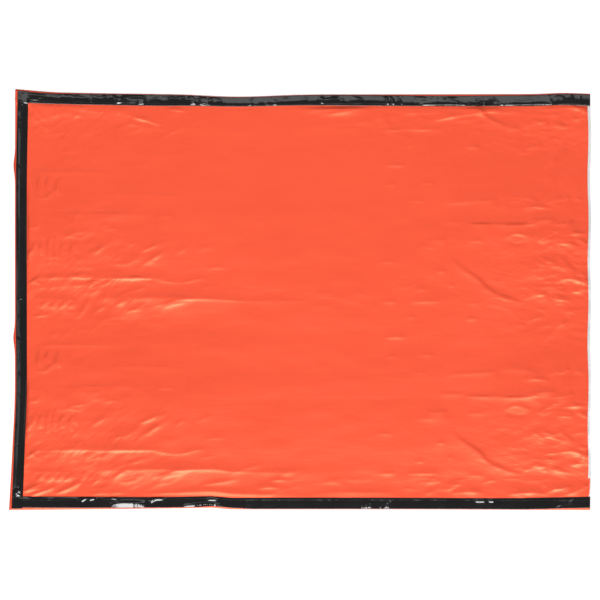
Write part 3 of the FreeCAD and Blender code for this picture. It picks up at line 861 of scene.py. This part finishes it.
flecks(right_strip, 0.65, 0.68, 0.0370, 0.0056, 302)
flecks(right_strip, 0.71, 0.93, 0.0375, 0.0016, 303)
right_strip.scatter((0.0, 0.022), (1.0, 0.018), 70, 20, 0.024, 0.0008, 0.004, 201, 0.9)
right_strip.scatter((0.0, 0.014), (1.0, 0.012), 60, 3, 0.08, 0.0007, 0.003, 203, 0.12)
right_strip.scatter((-0.55, 0.016), (0.25, 0.010), 14, 30, 0.03, 0.0010, 0.004, 202, 0.7)

# Left side: dark, with a few places that have lifted and catch the light.
left_strip = tape_strip(side_along)
left_strip.crease([(-0.700, 0.019), (-0.64, 0.0235), (-0.562, 0.0225)], 0.0050, 0.0195, 0.008, tent=True)
left_strip.crease(
    [(-0.440, 0.0115), (-0.38, 0.0135), (-0.33, 0.0150), (-0.280, 0.0110)], 0.0035, 0.0095, 0.006, tent=True
)
for path, height, near, far in (
    ([(-0.818, 0.034), (-0.79, 0.0375), (-0.742, 0.0365)], 0.0030, 0.005, 0.004),
    ([(-0.805, 0.029), (-0.795, 0.034), (-0.785, 0.041)], 0.0026, 0.004, 0.004),
    ([(-0.775, 0.033), (-0.765, 0.036), (-0.750, 0.041)], 0.0020, 0.004, 0.004),
    ([(-0.704, 0.040), (-0.68, 0.0385), (-0.662, 0.034)], 0.0040, 0.005, 0.004),
    ([(-0.560, 0.030), (-0.545, 0.035), (-0.52, 0.0375), (-0.488, 0.037)], 0.0040, 0.0045, 0.004),
    ([(-0.548, 0.026), (-0.540, 0.033), (-0.535, 0.040)], 0.0020, 0.004, 0.004),
    ([(-0.345, 0.031), (-0.325, 0.032), (-0.30, 0.031)], 0.0026, 0.004, 0.004),
    ([(0.640, 0.034), (0.660, 0.0345), (0.683, 0.034)], 0.0036, 0.004, 0.004),
    ([(0.690, 0.034), (0.702, 0.0345), (0.716, 0.034)], 0.0032, 0.004, 0.004),
    ([(-0.488, 0.006), (-0.485, 0.008), (-0.482, 0.010)], 0.0016, 0.004, 0.004),
    ([(0.530, 0.005), (0.533, 0.008), (0.536, 0.012)], 0.0016, 0.004, 0.004),
    ([(0.935, 0.010), (0.950, 0.016), (0.965, 0.020)], 0.0014, 0.004, 0.004),
    ([(0.985, 0.022), (1.000, 0.030), (1.010, 0.038)], 0.0014, 0.004, 0.004),
):
    left_strip.crease(path, height, near, far)
for x in (-0.607, -0.595, -0.586, -0.576):
    left_strip.crease([(x, 0.005), (x + 0.001, 0.014), (x + 0.004, 0.024)], 0.0016, 0.002, 0.002)
for x, top in ((-0.375, 0.016), (-0.352, 0.021), (-0.338, 0.018), (-0.322, 0.015), (-0.300, 0.012),
               (0.228, 0.014), (0.242, 0.017), (0.256, 0.022), (0.264, 0.019), (0.297, 0.014), (0.318, 0.024),
               (0.330, 0.031)):
    left_strip.crease([(x - 0.006, 0.005), (x - 0.002, top * 0.6), (x + 0.006, top)], 0.0028, 0.0035, 0.0035)
for x in np.arange(-0.24, 0.02, 0.0115):
    left_strip.crease([(x, 0.008), (x + 0.001, 0.022), (x, 0.040)], 0.0004, 0.002, 0.002)
left_strip.scatter((0.0, 0.024), (1.0, 0.016), 60, 40, 0.024, 0.0005, 0.004, 211, 0.9)

for name, node, sign, strip, outer, inner in (
    ("right_tape", "right_side_tape", 1, right_strip, RIGHT_OUTER, RIGHT_INNER),
    ("left_tape", "left_side_tape", -1, left_strip, LEFT_OUTER, LEFT_INNER),
):
    x, across = np.meshgrid(strip.x, (strip.y - TAPE_MARGIN) / TAPE_WIDTH, indexing="ij")
    inward = through(outer, strip.x)[:, None] * (1 - across) + through(inner, strip.x)[:, None] * across
    tape = tape_mesh(name, x, sign * (HALF_WIDTH - inward), over_flap(inward), strip)
    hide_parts(node)
    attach(tape, "root")


# ---- Foot tape: the same tape across the foot, laid last, over the ends of both side tapes.  It has
# ---- low ridges along it, where it bridges the film's raw edge, and is wrinkled at its two ends.

# How far in from the fold its outer edge lies: less in the middle than at the two ends.
FOOT_OUTER = [(-0.76, 0.009), (-0.45, 0.005), (0.40, 0.004), (0.76, 0.009)]
OVER_TAPE = 0.0012  # how much higher it rides where it crosses the side tapes
reach = HALF_WIDTH - TAPE_MARGIN
foot_strip = tape_strip(np.arange(-reach, reach + TAPE_STEP / 2, TAPE_STEP))
for path, height, near, far in (
    ([(-0.74, 0.019), (-0.3, 0.021), (0.1, 0.018), (0.70, 0.021)], 0.0012, 0.0045, 0.0035),
    ([(-0.60, 0.031), (-0.1, 0.033), (0.4, 0.030)], 0.0010, 0.004, 0.003),
    ([(0.10, 0.010), (0.35, 0.012), (0.66, 0.009)], 0.0005, 0.003, 0.003),
    ([(0.7275, 0.005), (0.7285, 0.024), (0.7270, 0.043)], -0.0016, 0.003, 0.003),
    ([(0.722, 0.008), (0.712, 0.022), (0.700, 0.034), (0.690, 0.041)], 0.0022, 0.004, 0.004),
    ([(0.716, 0.016), (0.700, 0.018), (0.684, 0.012)], 0.0018, 0.004, 0.004),
    ([(0.706, 0.028), (0.690, 0.028), (0.668, 0.033)], 0.0018, 0.004, 0.004),
    ([(0.664, 0.014), (0.648, 0.010), (0.636, 0.013), (0.622, 0.009)], 0.0018, 0.004, 0.004),
    ([(0.752, 0.006), (0.746, 0.022), (0.756, 0.040)], 0.0003, 0.003, 0.003),
    ([(0.735, 0.012), (0.744, 0.028), (0.738, 0.040)], 0.0003, 0.003, 0.003),
    ([(0.486, 0.005), (0.484, 0.012), (0.490, 0.020)], 0.0018, 0.003, 0.003),
    ([(-0.139, 0.005), (-0.137, 0.012), (-0.142, 0.020)], 0.0018, 0.003, 0.003),
    ([(-0.686, 0.042), (-0.696, 0.034), (-0.688, 0.026), (-0.700, 0.012), (-0.708, 0.005)],
     0.0042, 0.006, 0.005),
    ([(-0.700, 0.042), (-0.692, 0.030), (-0.702, 0.018), (-0.694, 0.010)], 0.0034, 0.005, 0.004),
    ([(-0.712, 0.036), (-0.705, 0.026), (-0.714, 0.020)], 0.0026, 0.004, 0.004),
):
    foot_strip.crease(path, height, near, far)
foot_strip.scatter((0.0, 0.024), (0.7, 0.016), 44, 50, 0.03, 0.0004, 0.004, 221, 0.9)
side, inward = np.meshgrid(foot_strip.x, foot_strip.y, indexing="ij")
inward = inward + through(FOOT_OUTER, foot_strip.x)[:, None] - TAPE_MARGIN
over_side = 1 - smooth(HALF_WIDTH - np.abs(side), TAPE_MARGIN + TAPE_WIDTH, TAPE_MARGIN + TAPE_WIDTH + 0.004)
over = np.maximum(over_flap(inward), FLAP_LIFT * over_side) + OVER_TAPE * over_side
foot_tape = tape_mesh("foot_tape_strip", -HALF_LENGTH + inward, side, over, foot_strip)
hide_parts("foot_tape")
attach(foot_tape, "root")


# ---- Floor, light and camera: a plain white floor, even light from all round, one large soft box beyond
# ---- the sack's left side, two weak ones beyond its right side and its foot, and a camera straight above.

bpy.ops.mesh.primitive_plane_add(size=60, location=(0, 0, 0))
floor = bpy.context.object
floor.name = "floor"
white, start, place = new_finish("white_floor")
grain = start.node("ShaderNodeTexNoise", None, {"Vector": place, "Scale": 3.0, "Detail": 4.0})
finished(start, {
    "Base Color": grain.mixed((0.93, 0.93, 0.93, 1), (0.96, 0.96, 0.96, 1)),
    "Roughness": 0.8,
})
floor.data.materials.append(white)

world = bpy.data.worlds.new("even_light")
bpy.context.scene.world = world
world.use_nodes = True
world.node_tree.nodes["Background"].inputs["Color"].default_value = (1, 1, 1, 1)
world.node_tree.nodes["Background"].inputs["Strength"].default_value = 0.25


def soft_box(name, place, width, height, radiance):
    """A large soft light of a given brightness, turned to face the middle of the sack."""
    lamp = bpy.data.lights.new(name, "AREA")
    lamp.shape = "RECTANGLE"
    lamp.size = width
    lamp.size_y = height
    lamp.energy = radiance * math.pi * width * height
    holder = bpy.data.objects.new(name, lamp)
    bpy.context.scene.collection.objects.link(holder)
    holder.location = place
    turn = math.atan2(place[0], -place[1])
    tilt = math.atan2(math.hypot(place[0], place[1]), place[2])
    holder.rotation_euler = (tilt, 0, turn)


soft_box("left_box", (0.8, -20.0, 23.0), 18.5, 8.5, 16.4)
soft_box("right_box", (0, 7.5, 20.0), 9.0, 7.0, 1.7)
soft_box("foot_box", (-9.0, 1.2, 20.0), 7.0, 3.0, 1.1)

camera_data = bpy.data.cameras.new("camera")
camera_data.lens = 200
camera_data.sensor_width = 36
camera = bpy.data.objects.new("camera", camera_data)
bpy.context.scene.collection.objects.link(camera)
VIEW_WIDTH = 2.2266  # how much of the floor the camera takes in, in metres
camera.location = (-0.0074, 0.0056, VIEW_WIDTH * camera_data.lens / camera_data.sensor_width)
camera_data.clip_end = 100
bpy.context.scene.camera = camera
bpy.context.scene.view_settings.view_transform = "Standard"
bpy.context.scene.view_settings.exposure = 0.3
